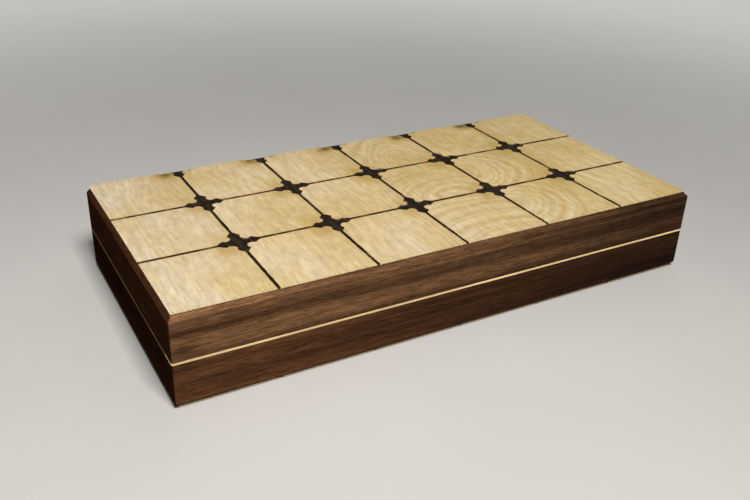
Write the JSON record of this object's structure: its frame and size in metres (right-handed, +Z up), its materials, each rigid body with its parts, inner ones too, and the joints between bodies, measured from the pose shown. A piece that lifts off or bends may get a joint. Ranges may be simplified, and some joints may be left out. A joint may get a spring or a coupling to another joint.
{
  "type": "puzzle box",
  "caption": "Shallow hinged walnut box whose two faces form a folding board of pale veneer squares with cross-shaped openings; a sliding rim strip is the key.",
  "frame": {"origin": "middle of the closed box's bounding box, on the face it rests on", "axes": "+X along the long side, to the right seen from the front; -Y the front, where the lid opens; +Z up"},
  "size_m": [0.3018, 0.1542, 0.048],
  "materials": {
    "veneer_squares": "satin pale figured veneer, edges browned by the burning tool that cut it",
    "black_veneer": "matte black dyed veneer",
    "walnut": "satin oiled walnut, grain along each wall",
    "plywood": "satin plywood panel",
    "rim_maple": "satin pale maple strip",
    "hinge_brass": "brushed brass",
    "screw_brass": "turned brass",
    "magnet": "nickel plated magnet"
  },
  "bodies": {
    "base_box": {"base_tile_c1_r1": "veneer_squares", "base_tile_c1_r2": "veneer_squares", "base_tile_c1_r3": "veneer_squares", "base_tile_c2_r1": "veneer_squares", "base_tile_c2_r2": "veneer_squares", "base_tile_c2_r3": "veneer_squares", "base_tile_c3_r1": "veneer_squares", "base_tile_c3_r2": "veneer_squares", "base_tile_c3_r3": "veneer_squares", "base_tile_c4_r1": "veneer_squares", "base_tile_c4_r2": "veneer_squares", "base_tile_c4_r3": "veneer_squares", "base_tile_c5_r1": "veneer_squares", "base_tile_c5_r2": "veneer_squares", "base_tile_c5_r3": "veneer_squares", "base_tile_c6_r1": "veneer_squares", "base_tile_c6_r2": "veneer_squares", "base_tile_c6_r3": "veneer_squares", "base_front_wall": "walnut", "base_back_wall": "walnut", "base_left_wall": "walnut", "base_right_wall": "walnut", "base_panel": "plywood", "base_backing": "black_veneer", "base_magnets": "magnet", "base_hinge_leaves": "hinge_brass", "hinge_pins": "hinge_brass", "base_hinge_screws": "screw_brass"},
    "lid_box": {"lid_tile_c1_r1": "veneer_squares", "lid_tile_c1_r2": "veneer_squares", "lid_tile_c1_r3": "veneer_squares", "lid_tile_c2_r1": "veneer_squares", "lid_tile_c2_r2": "veneer_squares", "lid_tile_c2_r3": "veneer_squares", "lid_tile_c3_r1": "veneer_squares", "lid_tile_c3_r2": "veneer_squares", "lid_tile_c3_r3": "veneer_squares", "lid_tile_c4_r1": "veneer_squares", "lid_tile_c4_r2": "veneer_squares", "lid_tile_c4_r3": "veneer_squares", "lid_tile_c5_r1": "veneer_squares", "lid_tile_c5_r2": "veneer_squares", "lid_tile_c5_r3": "veneer_squares", "lid_tile_c6_r1": "veneer_squares", "lid_tile_c6_r2": "veneer_squares", "lid_tile_c6_r3": "veneer_squares", "lid_front_wall": "walnut", "lid_back_wall": "walnut", "lid_left_wall": "walnut", "lid_right_wall": "walnut", "lid_panel": "plywood", "lid_backing": "black_veneer", "rim_band_left": "rim_maple", "rim_band_right": "rim_maple", "rim_band_back": "rim_maple", "key_pins": "screw_brass", "lid_hinge_leaves": "hinge_brass", "lid_hinge_screws": "screw_brass"},
    "key": {"key_strip": "rim_maple", "key_strip_magnets": "magnet"}
  },
  "joints": [
    {"name": "lid_hinge", "type": "hinge", "parent": "base_box", "child": "lid_box", "pos_m": [0, 0.07537, 0.024], "axis": [-1, 0, 0], "range_deg": [0, 180]},
    {"name": "key_slide", "type": "slide", "parent": "lid_box", "child": "key", "axis": [1, 0, 0], "range_m": [0, 0.008]}
  ]
}
